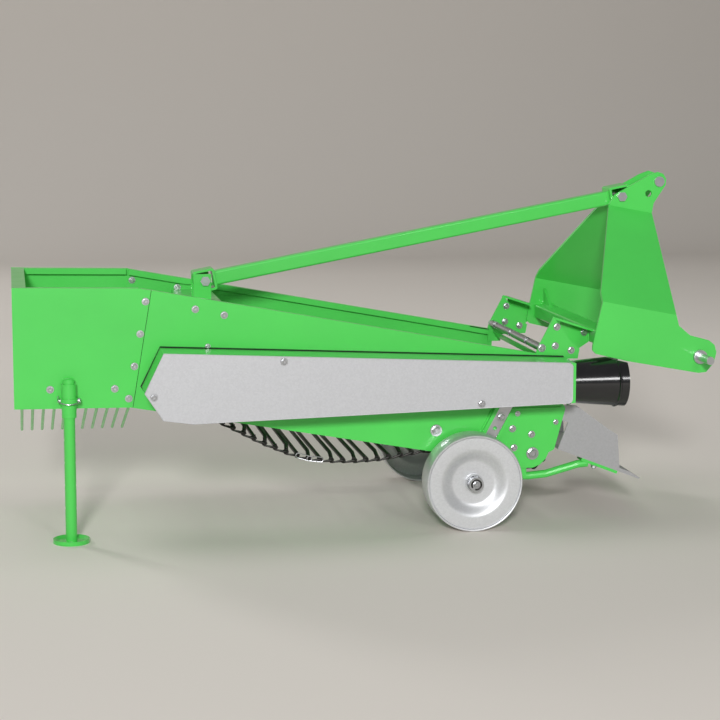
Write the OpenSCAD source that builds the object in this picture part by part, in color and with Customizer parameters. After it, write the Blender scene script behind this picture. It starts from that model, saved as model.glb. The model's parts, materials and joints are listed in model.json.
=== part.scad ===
// Mounted single-row potato digger with a rod web, carried on a three-point hitch.
// X is forward, Y is left, Z is up; the origin lies on the ground below the middle of the whole machine.

/* [Walls] */
// Thickness of the wall sheets
sheet_t = 3; // [2:0.5:5]
// Half width over the side sheets
wall_y = 278; // [240:1:340]
// Rear end of the box
rear_x = -945; // [-1000:1:-900]
// Top edge of the box at its rear end
box_top_z = 669; // [620:1:720]
// Bottom edge of the box
box_bottom_z = 352; // [320:1:380]
// Place where the top edge starts to fall
kink_x = -619; // [-660:1:-590]
// Height of the top edge at the kink
kink_z = 663; // [620:1:700]
// Front end of the top edge
wall_front_x = 470; // [440:1:500]
// Height of the top edge at its front end
wall_front_z = 464; // [440:1:490]
// Top end of the slanted seam between panel and side sheet
seam_top_x = -587; // [-610:1:-560]
// Bottom end of the slanted seam
seam_bottom_x = -639; // [-660:1:-620]
// Overlap of the side sheet behind the seam
seam_lap = 25; // [20:1:40]
// Width of the folded hem on the box edges
hem_w = 21; // [12:1:26]
// Depth of the hem's return
hem_drop = 17; // [10:1:25]
// Gap between a side sheet's hem and the pieces that it stops at
hem_gap = 1; // [0.5:0.5:4]
// Step from the sheet's edge down to the flat of its hem
hem_step = 0.4; // [0.2:0.1:1]
// Width of the rear sheet's top flange
rear_flange = 36; // [20:1:50]

/* [Finger grate] */
// Number of fingers
finger_count = 11; // [7:1:15]
// Finger radius
finger_r = 4; // [3:0.5:6]
// Reach of the fingers across the machine
finger_len = 425; // [300:5:480]
// Downward slope of the fingers in degrees
finger_slope = 18.7; // [10:0.1:30]
// First finger in front of the rear end
finger_inset = 20; // [15:1:40]
// Finger spacing
finger_pitch = 28; // [24:1:30]

/* [Support leg] */
// Leg place along the machine
leg_x = -805; // [-880:1:-700]
// Leg distance from the mid plane
leg_y = 308; // [304:1:330]
// Leg tube radius
leg_r = 15; // [12:0.5:16]
// Leg tube wall
leg_wall = 3; // [2:0.5:4]
// Sleeve outside radius
sleeve_r = 19; // [18:0.5:24]
// Sleeve bottom
sleeve_z0 = 332; // [320:1:345]
// Sleeve top
sleeve_z1 = 420; // [400:1:460]
// Top of the leg tube above the sleeve
leg_over = 8; // [4:1:30]
// Foot disc radius
foot_r = 47.5; // [35:0.5:60]
// Foot disc thickness
foot_t = 5; // [4:0.5:10]
// Sliding clearance of the leg in its sleeve
leg_gap = 0.3; // [0.2:0.05:0.6]
// Number of setting holes in the leg
leg_holes = 4; // [2:1:6]
// Spacing of the setting holes
leg_hole_pitch = 60; // [40:1:70]
// Radius of the setting holes
leg_hole_r = 5; // [4:0.5:6]

/* [Mid cross beam and strut] */
// Rear edge of the mid cross beam
mid_x0 = -490; // [-520:1:-470]
// Front edge of the mid cross beam
mid_x1 = -378; // [-390:1:-350]
// Bottom of the mid cross beam
mid_z0 = 560; // [540:1:570]
// Top of the mid cross beam
mid_z1 = 598; // [590:1:604]
// Plate thickness of the mid cross beam
mid_t = 4; // [3:0.5:6]
// Strut tube width
strut_w = 40; // [30:1:50]
// Strut tube wall
strut_wall = 3; // [2:0.5:5]
// Square eye at each strut end, outside
eye_w = 60; // [50:1:70]
// Wall of the square eyes
eye_wall = 6; // [4:0.5:8]
// Corner radius of the square tubes
tube_round = 6; // [3:0.5:8]
// Rear strut bolt along the machine
strut_x0 = -421; // [-430:1:-410]
// Rear strut bolt height
strut_z0 = 654; // [650:1:660]
// Distance of the front strut bolt behind the top link pin
strut_back = 109; // [102:1:117]
// Front strut bolt height
strut_z1 = 876; // [870:1:880]
// Half gap between the lugs that hold the rear eye
lug_gap = 31; // [25:1:40]
// Thickness of the lugs
lug_t = 6; // [4:1:8]
// Strut bolt radius
bolt_r = 8; // [6:0.5:10]

/* [Headstock] */
// Thickness of the bent headstock plates
head_t = 8; // [6:0.5:12]
// Half width over the lower part of the plates
head_y = 341.5; // [320:0.5:360]
// Half gap between the plates at the mast top
mast_gap = 36; // [30:1:45]
// Fall of both bends towards the front in degrees
bend_tilt = 11; // [8:0.5:14]
// Height of the lower bend at the plate's rear edge
bend_z0 = 613; // [605:1:625]
// Height of the upper bend at the plate's rear edge
bend_z1 = 853; // [845:1:860]
// Lower link pin radius
low_pin_r = 11; // [10:0.1:14.5]
// Free length of the lower link pins
low_pin_len = 85; // [70:1:100]
// Lower link pin along the machine
low_pin_x = 897; // [880:1:905]
// Lower link pin height
low_pin_z = 457; // [450:1:465]
// Top link pin radius
top_pin_r = 9.5; // [9:0.1:12.5]
// Top link pin along the machine
top_pin_x = 872; // [860:1:876]
// Top link pin height
top_pin_z = 918; // [910:1:922]
// Distance of the second top link hole behind the pin
top_hole_back = 30; // [24:1:36]
// Distance of the second top link hole below the pin
top_hole_down = 34; // [30:1:38]
// Clearance of pins and bolts in their holes
pin_gap = 0.25; // [0.1:0.05:0.5]
// Rear face of the head beam
beam_x = 617; // [610:1:630]
// Depth of the head beam
beam_w = 60; // [40:1:80]
// Bottom of the head beam
beam_z0 = 488; // [480:1:495]
// Height of the head beam
beam_h = 40; // [30:1:60]
// Wall of the head beam
beam_wall = 4; // [3:0.5:6]
// Thickness of the ears
ear_t = 6; // [4:0.5:8]
// Thickness of the beam brackets
bracket_t = 6; // [5:0.5:10]
// Sideways step of the right beam bracket
bracket_step = 50; // [30:1:60]
// Thickness of the gussets on the head beam
gusset_t = 8; // [5:0.5:10]
// Height of the gussets
gusset_h = 50; // [30:1:70]
// Reach of the gussets along the head beam
gusset_l = 85; // [50:1:100]

/* [Front cross pieces] */
// Tie rod radius
tie_r = 7; // [6:0.5:9]
// Tie rod along the machine
tie_x = 470; // [466:1:474]
// Tie rod height
tie_z = 481; // [477:1:484]
// Radius of the sleeves on the tie rod
tie_sleeve_r = 10.5; // [10:0.5:12]
// Length of a tie rod sleeve
tie_sleeve_len = 150; // [120:1:165]
// Distance from one tie rod sleeve to the next
tie_sleeve_pitch = 177; // [170:1:185]
// Left end of the first whole tie rod sleeve
tie_sleeve_y = 198; // [190:1:205]
// Width of the cross strip
strip_w = 20; // [16:1:26]
// Thickness of the cross strip
strip_t = 4; // [3:0.5:5]
// Backward lean of the cross strip in degrees
strip_lean = 30; // [10:1:45]
// Distance of the cross strip's foot in front of the tie rod
strip_ahead = 14; // [12:1:18]
// Distance of the cross strip's foot below the tie rod
strip_down = 38; // [36:1:42]

/* [Drive] */
// Depth of the drive guard over its cover
guard_depth = 127; // [110:1:140]
// Thickness of the guard's sheet
guard_t = 2.5; // [2:0.5:4]
// Thickness of the guard's cover
cover_t = 2; // [1.5:0.5:3]
// Distance of the cover's front edge behind the guard's front
cover_in = 9; // [5:1:15]
// Corner radius of the cover at its front
cover_r = 8; // [4:0.5:12]
// Front face of the guard
guard_front_x = 530; // [515:1:532]
// Shaft stub distance from the mid plane
pto_y = 318; // [316:1:322]
// Shaft stub height
pto_z = 393; // [388:1:396]
// Shaft stub radius
pto_r = 17.45; // [15:0.05:22.5]
// Free end of the shaft stub
pto_end_x = 640; // [600:1:660]
// Free length of the shaft stub
pto_len = 90; // [70:1:100]
// Wall of the hub round the stub
stub_hub_wall = 5; // [3:0.5:8]
// Reach of the hub behind the guard's front
stub_hub_in = 60; // [40:1:80]
// Overhang of the bearing flange past the stub
flange_w = 24; // [18:1:30]
// Thickness of the bearing flange
flange_t = 8; // [6:0.5:12]
// Shield radius at the guard
shield_r0 = 56; // [48:0.5:57]
// Shield radius at its open end
shield_r1 = 70; // [58:0.5:74]
// Shield wall
shield_wall = 4; // [3:0.5:6]
// Open end of the shield
shield_end_x = 686; // [660:1:702]
// Gap between shield and headstock plate
shield_gap = 6; // [5:0.5:10]
// Gearbox size along the machine
gearbox_l = 115; // [90:1:120]
// Gearbox height
gearbox_h = 124; // [90:1:128]

/* [Web] */
// Drive shaft along the machine
drive_x = -520; // [-540:1:-500]
// Drive shaft height
drive_z = 415; // [405:1:425]
// Drive shaft radius
drive_r = 17.5; // [14:0.5:20]
// Depth of the drive shaft's seat in the gearbox
drive_seat = 40; // [30:1:60]
// Web radius round the drive drums
drive_path_r = 66; // [60:1:70]
// Front roller along the machine
front_x = 446; // [440:1:452]
// Front roller height
front_z = 192; // [186:1:196]
// Front roller axle radius
front_r = 12.5; // [10:0.5:16]
// Web radius round the front roller
front_path_r = 43; // [38:1:45]
// Support roller along the machine
idler_x = 177; // [165:1:190]
// Support roller height
idler_z = 263; // [258:1:270]
// Support roller axle radius
idler_axle_r = 10; // [8:0.5:12]
// Half length of the web rods
rod_y = 258; // [220:1:262]
// Web rod radius
rod_r = 5; // [4:0.5:6]
// Rod spacing wanted along the web
rod_pitch = 32; // [28:1:40]
// Width of the web's side belts
belt_w = 14; // [10:1:20]
// Thickness of the web's side belts
belt_t = 11; // [10.5:0.5:14]

/* [Wheels] */
// Wheel along the machine
wheel_x = 265; // [255:1:275]
// Wheel radius
wheel_r = 131.7; // [120:0.1:140]
// Outer face of the wheel from the mid plane
wheel_out_y = 372; // [368:1:380]
// Wheel width
wheel_w = 74; // [60:1:75]
// Thickness of the wheel's pressed sheet
wheel_t = 4; // [3:0.5:6]
// Hub radius
hub_r = 24; // [20:0.5:30]
// Depth of the dish in the wheel's outer face
dish_depth = 20; // [12:1:24]
// Depth of the hub's end behind the wheel's outer face
hub_in = 10; // [6:1:14]
// Axle radius
axle_r = 12.5; // [10:0.5:15]
// Running clearance of the hub on its axle
axle_gap = 0.05; // [0.02:0.01:0.1]
// Wheel arm width
arm_w = 31; // [25:1:40]
// Wheel arm thickness
arm_t = 8; // [6:0.5:8]
// Number of setting holes in a wheel arm
arm_holes = 2; // [2:1:3]
// Distance of the first setting hole from the axle
arm_hole_at = 153; // [145:1:160]
// Distance between setting holes
arm_hole_pitch = 35; // [30:1:40]
// Setting hole radius
arm_hole_r = 5.5; // [4:0.25:7]
// Bearing plate thickness
plate_t = 5; // [4:0.5:6]
// Width of the arm's guide rails
rail_w = 10; // [6:1:12]

/* [Share] */
// Blade thickness
blade_t = 10; // [6:0.5:14]
// Blade rear edge along the machine
blade_x = 524; // [520:1:530]
// Blade rear edge height, upper face
blade_z = 209; // [205:1:212]
// Downward slope of the blade in degrees
blade_slope = 21.3; // [15:0.1:28]
// Blade length at its sides
blade_len = 252; // [210:1:270]
// Forward point of the blade at the middle
blade_point = 25; // [10:1:60]
// Length of the ground bevel at the blade's edge
blade_bevel = 60; // [40:1:80]
// Thickness of the share cheeks
cheek_t = 5; // [4:0.5:8]
// Share bar radius
bar_r = 11; // [8:0.5:12]

/* [Hidden] */
$fn = 48;

green = [0.30, 0.78, 0.32];
silver = [0.75, 0.75, 0.77];
steel = [0.45, 0.45, 0.47];
black = [0.06, 0.06, 0.06];

// Points on an arc from angle a[0] to angle a[1]
arc_steps = 10;
function arc(cx, cz, r, a) = [
    for (i = [0 : arc_steps])
        let (t = a[0] + (a[1] - a[0]) * i / arc_steps) [cx + r * cos(t), cz + r * sin(t)]
];

inner_y = wall_y - sheet_t;
mid_plate_z1 = mid_z1 + 16;
panel_y = wall_y + sheet_t;
top_fall = (wall_front_z - kink_z) / (wall_front_x - kink_x);
function top_z(x) = kink_z + top_fall * (x - kink_x);

// Front and lower outline of a side sheet
sheet_low = [
    [470, 400], [536, 320], [539, 312], [509, 200], [430, 162], [340, 175], [161, 206], [-377, 302]
];
sheet_outline = concat(
    [[seam_top_x - seam_lap, top_z(seam_top_x - seam_lap)], [wall_front_x, wall_front_z]],
    sheet_low,
    [[seam_bottom_x - seam_lap, box_bottom_z]]
);
panel_outline = [
    [rear_x, box_top_z], [kink_x, kink_z], [seam_top_x, top_z(seam_top_x)],
    [seam_bottom_x, box_bottom_z - 3], [rear_x, box_bottom_z]
];

strut_x1 = top_pin_x - strut_back;
strut_len = norm([strut_x1 - strut_x0, strut_z1 - strut_z0]);
strut_angle = atan2(strut_z1 - strut_z0, strut_x1 - strut_x0);

// Points turned into the frame of the tilted bends
function to_bend(p) = [
    p[0] * cos(bend_tilt) - p[1] * sin(bend_tilt), p[0] * sin(bend_tilt) + p[1] * cos(bend_tilt)
];
function from_bend(p) = [
    p[0] * cos(bend_tilt) + p[1] * sin(bend_tilt), p[1] * cos(bend_tilt) - p[0] * sin(bend_tilt)
];

// Lower edge of a headstock plate, from its rear corner to the pin lobe
head_edge0 = [603, 471];
head_edge1 = [low_pin_x - 3, low_pin_z - 45];
bend_rear = [620, bend_z0];
bend_front = from_bend([to_bend([low_pin_x - 69, low_pin_z + 116])[0], to_bend(bend_rear)[1]]);
head_low = [
    bend_rear, bend_front, [low_pin_x - 61, low_pin_z + 86], [low_pin_x - 29, low_pin_z + 59],
    [low_pin_x + 26, low_pin_z + 44], [low_pin_x + 42, low_pin_z + 31], [low_pin_x + 48, low_pin_z + 11],
    [low_pin_x + 41, low_pin_z - 19], [low_pin_x + 20, low_pin_z - 43], head_edge1, [693, 449], head_edge0,
    [594, 480], [594, 492], [604, 539]
];
top_hole_x = top_pin_x - top_hole_back;
top_hole_z = top_pin_z - top_hole_down;
mast_rear_x = strut_x1 - 37;
mast_rear = [mast_rear_x, bend_z1];
mast_front = from_bend([to_bend([top_hole_x + 11, top_hole_z - 56])[0], to_bend(mast_rear)[1]]);
head_top = [
    mast_rear, [strut_x1 - 21, strut_z1 + 6], [top_pin_x - 30, top_pin_z + 18],
    [top_pin_x - 4, top_pin_z + 27], [top_pin_x + 12, top_pin_z + 22], [top_pin_x + 21, top_pin_z + 8],
    [top_pin_x + 20, top_pin_z - 10], [top_hole_x + 16, top_hole_z - 27], mast_front
];
bend_run = head_y - mast_gap - head_t;
bend_rise = to_bend(mast_rear)[1] - to_bend(bend_rear)[1];
bend_len = norm([bend_run, bend_rise]);
bend_end = bend_len + head_t * (bend_len - bend_rise) / bend_run;
head_mid = [
    [to_bend(bend_rear)[0], 0], [to_bend(bend_front)[0], 0], [to_bend(mast_front)[0], bend_end],
    [to_bend(mast_rear)[0], bend_end], [to_bend(bend_rear)[0] - 2, bend_len * 0.09]
];

ear_rear_x = 400;
ear_tip = [503, 565];
ear_mid = [550, 499];
ear_front = [577, 476];
ear_outline = [
    ear_tip, ear_mid, ear_front, [572, 449], [516, 438], [512, 400],
    [ear_rear_x, 400], [ear_rear_x, 455], [462, 487]
];

// Bracket from the ear's slanted edge to the head beam, stepped to the left along that edge
beam_top = beam_z0 + beam_h;
bracket_outline = [
    ear_tip, [beam_x, beam_top], [beam_x, beam_z0], ear_front + [12, -6], ear_front, ear_mid
];
bracket_slant = [
    ear_tip, ear_mid, ear_front, ear_front - [bracket_t, bracket_t], ear_mid - [bracket_t, bracket_t],
    ear_tip - [bracket_t, bracket_t]
];
bracket_top = [ear_tip, [beam_x, beam_top], [beam_x, beam_top - bracket_t], ear_tip - [0, bracket_t]];

guard_y = wall_y + guard_depth;
guard_top = 456;
guard_bottom = 349;
guard_rear = [[-490, 322], [-568, 333], [-615, 404], [-566, 506]];
guard_outline = concat(guard_rear, [[guard_front_x, guard_top], [guard_front_x, guard_bottom]]);
cover_x = guard_front_x - cover_in - cover_r;
cover_outline = concat(
    guard_rear,
    arc(cover_x, guard_top - cover_r, cover_r, [90, 0]),
    arc(cover_x, guard_bottom + cover_r, cover_r, [0, -90])
);

// Cheek of the share, standing on the blade
cheek_drop = tan(blade_slope);
function blade_top(x) = blade_z - cheek_drop * (x - blade_x);
cheek_front_x = 698;
cheek_outline = [
    [500, 318], [546, 322], [572, 319], [666, 250], [691, 234], [cheek_front_x, blade_top(cheek_front_x)],
    [blade_x, blade_z], [549, 274], [531, 279], [500, 283]
];

// Direction of the wheel arm, from the axle up to the guard
arm_top = [375, 335];
arm_len = norm(arm_top - [wheel_x, wheel_r]);
arm_angle = atan2(arm_top[1] - wheel_r, arm_top[0] - wheel_x);
arm_y = wall_y + plate_t;
rail_off = arm_w / 2 + 0.5;

// Web path: drive drum arc, straight top run, front roller arc, sagging lower run
drive_a = [247, 75.8];
front_a = [75.8, -101];
sag = [
    [150, 207], [81, 195], [25, 187], [-45, 184], [-112, 187], [-166, 193], [-220, 210], [-296, 243],
    [-355, 275], [-403, 300]
];
function web_path(d) = concat(
    arc(drive_x, drive_z, drive_path_r + d, drive_a),
    arc(front_x, front_z, front_path_r + d, front_a),
    [for (i = [0 : len(sag) - 1]) sag[i] + d * sag_normal(i)]
);
function sag_normal(i) = let (
    a = i == 0 ? [front_x, front_z - front_path_r] : sag[i - 1],
    b = i == len(sag) - 1 ? [drive_x - 25, drive_z - drive_path_r] : sag[i + 1],
    v = (b - a) / norm(b - a)
) [v[1], -v[0]] * -1;
path = web_path(0);
path_n = len(path);
function leg_of(i) = path[(i + 1) % path_n] - path[i];
function run_to(i) = i == 0 ? 0 : run_to(i - 1) + norm(leg_of(i - 1));
runs = [for (i = [0 : path_n]) run_to(i)];
rod_count = round(runs[path_n] / rod_pitch);
function rod_at(s) = let (
    i = len([for (r = runs) if (r <= s) r]) - 1,
    v = leg_of(i)
) path[i] + v / norm(v) * (s - runs[i]);
belt_y = rod_y + 4;

// Radius that lets the support roller carry the top run
run_a = path[arc_steps];
run_b = path[arc_steps + 1];
run_v = (run_b - run_a) / norm(run_b - run_a);
idler_off = [idler_x, idler_z] - run_a;
idler_r = abs(run_v[0] * idler_off[1] - run_v[1] * idler_off[0]) - belt_t / 2;

// Shrinks an outline drawn clockwise by d on every side
function unit(v) = v / norm(v);
function inset(p, d) = [
    for (i = [0 : len(p) - 1]) let (
        a = unit(p[i] - p[(i + len(p) - 1) % len(p)]),
        b = unit(p[(i + 1) % len(p)] - p[i]),
        na = [a[1], -a[0]],
        nb = [b[1], -b[0]]
    ) p[i] + (na + nb) * d / (1 + na * nb)
];

// Draws an outline in the XZ plane, from y0 to y1
module slab(outline, y0, y1) {
    translate([0, y1, 0])
        rotate([90, 0, 0])
            linear_extrude(height = y1 - y0)
                polygon(outline);
}

// Box from one corner to the opposite one
module block(a, b) {
    translate(a)
        cube(b - a);
}

// Round bar along Y
module bar_y(x, z, r, y0, y1) {
    translate([x, y1, z])
        rotate([90, 0, 0])
            cylinder(r = r, h = y1 - y0);
}

// Round bar along X
module bar_x(y, z, r, x0, x1) {
    translate([x0, y, z])
        rotate([0, 90, 0])
            cylinder(r = r, h = x1 - x0);
}

// Square with round corners, drawn round the origin
module round_square(w, h, r) {
    square([w - 2 * r, h], center = true);
    square([w, h - 2 * r], center = true);
    for (x = [-1, 1], y = [-1, 1])
        translate([x * (w / 2 - r), y * (h / 2 - r)])
            circle(r = r);
}

// Tube wall of width w and height h, drawn round the origin
module tube_ring(w, h, wall) {
    difference() {
        round_square(w, h, tube_round);
        round_square(w - 2 * wall, h - 2 * wall, tube_round / 2);
    }
}

// Puts a piece drawn for the left side on the right side
module right() {
    mirror([0, 1, 0])
        children();
}

// Top edge folded inward and down, between two points of the edge
module hem(rear, front, face_y) {
    return_y = panel_y - hem_w;
    top = [0, hem_step];
    under = [0, hem_step + sheet_t];
    low = [0, hem_drop];
    slab([rear - top, front - top, front - under, rear - under], return_y, face_y - sheet_t / 2);
    slab([rear - top, front - top, front - low, rear - low], return_y, return_y + sheet_t);
}

// The hem stops at the ear and is notched over the ends of the mid beam
module side_sheet() {
    hem_x0 = seam_top_x - seam_lap;
    hem_x1 = ear_rear_x - hem_gap;
    color(green) {
        difference() {
            slab(sheet_outline, inner_y, wall_y);
            bar_y(drive_x, drive_z, drive_r + pin_gap, inner_y - 5, wall_y + 5);
        }
        difference() {
            hem([hem_x0, top_z(hem_x0)], [hem_x1, top_z(hem_x1)], wall_y);
            block([mid_x0 - hem_gap, panel_y - hem_w - 1, mid_z0],
                [mid_x1 + hem_gap, inner_y, mid_plate_z1 + hem_gap / 2]);
        }
    }
}

module rear_panel() {
    hem_x = rear_x + rear_flange;
    hem_fall = (kink_z - box_top_z) / (kink_x - rear_x);
    hem_z = box_top_z + hem_fall * rear_flange;
    color(green) {
        slab(panel_outline, wall_y, panel_y);
        hem([hem_x, hem_z], [kink_x, kink_z], panel_y);
    }
}

module rear_sheet() {
    color(green) {
        block([rear_x, -wall_y, box_bottom_z], [rear_x + sheet_t, wall_y, box_top_z - 1]);
        block([rear_x, -wall_y, box_top_z - 1 - sheet_t], [rear_x + rear_flange, wall_y, box_top_z - 1]);
    }
}

module finger_grate() {
    bar_t = 5;
    bar_y1 = -inner_y + bar_t;
    finger_x0 = rear_x + finger_inset;
    lap_x = seam_bottom_x - seam_lap - 3;
    end_x = finger_x0 + (finger_count - 1) * finger_pitch + 8;
    color(green) {
        block([finger_x0 - 8, -wall_y, box_bottom_z + 2], [lap_x, bar_y1, box_bottom_z + 62]);
        block([finger_x0 - 8, -inner_y, box_bottom_z + 2], [end_x, bar_y1, box_bottom_z + 62]);
        for (i = [0 : finger_count - 1])
            translate([finger_x0 + i * finger_pitch, bar_y1 - 2, box_bottom_z + 10])
                rotate([-90 - finger_slope, 0, 0])
                    cylinder(r = finger_r, h = finger_len);
    }
}

module leg_sleeve() {
    ring_h = 16;
    color(green)
        difference() {
            union() {
                translate([leg_x, -leg_y, sleeve_z0])
                    cylinder(r = sleeve_r, h = sleeve_z1 - sleeve_z0);
                block([leg_x - 12, -leg_y, sleeve_z0 + 26], [leg_x + 12, -panel_y, sleeve_z1 - 8]);
                translate([leg_x, -leg_y, sleeve_z0 + 34])
                    cylinder(r = sleeve_r + 3, h = ring_h);
            }
            translate([leg_x, -leg_y, sleeve_z0 - 1])
                cylinder(r = leg_r + leg_gap, h = sleeve_z1 - sleeve_z0 + 2);
        }
}

module support_leg() {
    rim_h = 6;
    color(green)
        translate([leg_x, -leg_y, 0]) {
            difference() {
                cylinder(r = leg_r, h = sleeve_z1 + leg_over);
                translate([0, 0, foot_t])
                    cylinder(r = leg_r - leg_wall, h = sleeve_z1 + leg_over);
                for (i = [1 : leg_holes])
                    translate([0, 0, sleeve_z0 - i * leg_hole_pitch])
                        rotate([0, 90, 0])
                            cylinder(r = leg_hole_r, h = 4 * leg_r, center = true);
            }
            cylinder(r = foot_r, h = foot_t);
            difference() {
                cylinder(r = foot_r, h = foot_t + rim_h);
                translate([0, 0, foot_t])
                    cylinder(r1 = foot_r - 14, r2 = foot_r - 2, h = rim_h + 0.01);
            }
        }
}

module mid_cross_beam() {
    color(green) {
        difference() {
            block([mid_x0, -inner_y, mid_z0], [mid_x1, inner_y, mid_z1]);
            block([mid_x0 + mid_t, -inner_y + mid_t, mid_z0 - 1],
                [mid_x1 - mid_t, inner_y - mid_t, mid_z1 - mid_t]);
        }
        for (s = [0, 1])
            mirror([0, s, 0])
                block([mid_x0, inner_y - mid_t, mid_z0], [mid_x1, inner_y, mid_plate_z1]);
    }
}

module strut_lugs() {
    lug_x0 = strut_x0 - 32;
    lug_x1 = strut_x0 + 16;
    color(green)
        for (s = [-1, 1])
            difference() {
                translate([0, s * (lug_gap + lug_t / 2), 0])
                    block([lug_x0, -lug_t / 2, mid_z1], [lug_x1, lug_t / 2, strut_z0 + 19]);
                bar_y(strut_x0, strut_z0, bolt_r + pin_gap, -60, 60);
            }
}

// Square eye open along Y
module strut_eye(x, half) {
    translate([x, half, 0])
        rotate([90, 0, 0])
            linear_extrude(height = 2 * half)
                tube_ring(eye_w, eye_w, eye_wall);
}

module strut() {
    tube_x0 = eye_w / 2 - 1;
    tube_x1 = strut_len - eye_w / 2 + 1;
    color(green)
        translate([strut_x0, 0, strut_z0])
            rotate([0, -strut_angle, 0]) {
                strut_eye(0, lug_gap);
                strut_eye(strut_len, mast_gap);
                translate([tube_x0, 0, 0])
                    rotate([0, 90, 0])
                        linear_extrude(height = tube_x1 - tube_x0)
                            tube_ring(strut_w, strut_w, strut_wall);
            }
}

module strut_bolts() {
    head_h = 9;
    color(silver)
        for (b = [[strut_x0, strut_z0, lug_gap + lug_t], [strut_x1, strut_z1, mast_gap + head_t]]) {
            bar_y(b[0], b[1], bolt_r, -b[2] - head_h, b[2] + head_h);
            for (s = [-1, 1])
                translate([b[0], s * (b[2] + head_h / 2), b[1]])
                    rotate([90, 0, 0])
                        cylinder(r = 14, h = head_h, center = true, $fn = 6);
        }
}

module head_plate() {
    color(green)
        difference() {
            union() {
                slab(head_low, head_y - head_t, head_y);
                slab(head_top, mast_gap, mast_gap + head_t);
                rotate([0, bend_tilt, 0])
                    translate([0, head_y, to_bend(bend_rear)[1]])
                        rotate([atan2(bend_rise, -bend_run), 0, 0])
                            linear_extrude(height = head_t)
                                polygon(head_mid);
            }
            bar_y(low_pin_x, low_pin_z, low_pin_r + pin_gap, head_y - 20, head_y + 20);
            bar_y(top_pin_x, top_pin_z, top_pin_r + pin_gap, 0, 100);
            bar_y(top_hole_x, top_hole_z, top_pin_r + pin_gap, 0, 100);
            bar_y(strut_x1, strut_z1, bolt_r + pin_gap, 0, 100);
        }
}

module head_beam() {
    end_y = head_y - head_t;
    gusset_x = beam_x + beam_w / 2;
    color(green) {
        translate([gusset_x, end_y, beam_z0 + beam_h / 2])
            rotate([90, 0, 0])
                linear_extrude(height = 2 * end_y)
                    tube_ring(beam_w, beam_h, beam_wall);
        for (s = [0, 1])
            mirror([0, s, 0])
                translate([gusset_x - gusset_t / 2, 0, beam_top - 1])
                    rotate([90, 0, 90])
                        linear_extrude(height = gusset_t)
                            polygon([
                                [end_y - gusset_l, 0], [end_y, 0], [end_y, gusset_h], [end_y - 8, gusset_h]
                            ]);
    }
}

module head_bracket(ear_face, step) {
    web_face = ear_face + step;
    color(green) {
        slab(bracket_outline, web_face - bracket_t, web_face);
        slab(bracket_slant, ear_face, web_face);
        slab(bracket_top, ear_face, web_face);
    }
}

module ear() {
    color(green)
        slab(ear_outline, inner_y - ear_t, inner_y);
}

module top_link_pin() {
    head_h = 7;
    end_y = mast_gap + head_t;
    color(silver) {
        bar_y(top_pin_x, top_pin_z, top_pin_r, -end_y - head_h, end_y + 22);
        bar_y(top_pin_x, top_pin_z, top_pin_r + 5, -end_y - head_h, -end_y);
    }
}

module lower_pin() {
    collar_h = 10;
    nut_h = 14;
    color(silver) {
        bar_y(low_pin_x, low_pin_z, low_pin_r, head_y - head_t - nut_h, head_y + low_pin_len);
        bar_y(low_pin_x, low_pin_z, low_pin_r + 8, head_y, head_y + collar_h);
        translate([low_pin_x, head_y - head_t, low_pin_z])
            rotate([90, 0, 0])
                cylinder(r = low_pin_r + 8, h = nut_h, $fn = 6);
    }
}

module front_tie_rod() {
    end_y = inner_y - ear_t;
    color(silver) {
        bar_y(tie_x, tie_z, tie_r, -end_y, end_y);
        for (i = [-1 : 2])
            let (left = tie_sleeve_y - i * tie_sleeve_pitch)
                bar_y(tie_x, tie_z, tie_sleeve_r, max(-end_y, left - tie_sleeve_len), min(end_y, left));
    }
}

module front_cross_strip() {
    end_y = inner_y - ear_t;
    color(green)
        translate([tie_x + strip_ahead, 0, tie_z - strip_down])
            rotate([0, -strip_lean, 0])
                translate([-strip_t, -end_y, 0])
                    cube([strip_t, 2 * end_y, strip_w]);
}

module guard_box() {
    face_y = guard_y - cover_t;
    color(green)
        difference() {
            slab(guard_outline, -face_y, -wall_y);
            slab(inset(guard_outline, guard_t), -face_y + guard_t, -wall_y + 1);
            bar_x(-pto_y, pto_z, pto_r + 12, guard_front_x - 20, guard_front_x + 20);
        }
}

module guard_cover() {
    color(silver)
        slab(cover_outline, -guard_y, -guard_y + cover_t);
}

module gearbox() {
    color(steel)
        difference() {
            block([drive_x - gearbox_l / 2 + 10, -wall_y - guard_depth + 15, drive_z - gearbox_h / 2 - 8],
                [drive_x + gearbox_l / 2 + 10, -wall_y, drive_z + gearbox_h / 2 - 8]);
            bar_y(drive_x, drive_z, drive_r, -wall_y - drive_seat, -wall_y + 1);
        }
}

module pto_shaft() {
    color(steel) {
        bar_x(-pto_y, pto_z, pto_r, pto_end_x - pto_len, pto_end_x);
        bar_x(-pto_y, pto_z, pto_r + stub_hub_wall, guard_front_x - stub_hub_in, pto_end_x - pto_len);
        bar_x(-pto_y, pto_z, pto_r + flange_w, guard_front_x - guard_t - flange_t, guard_front_x - guard_t);
    }
}

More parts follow.
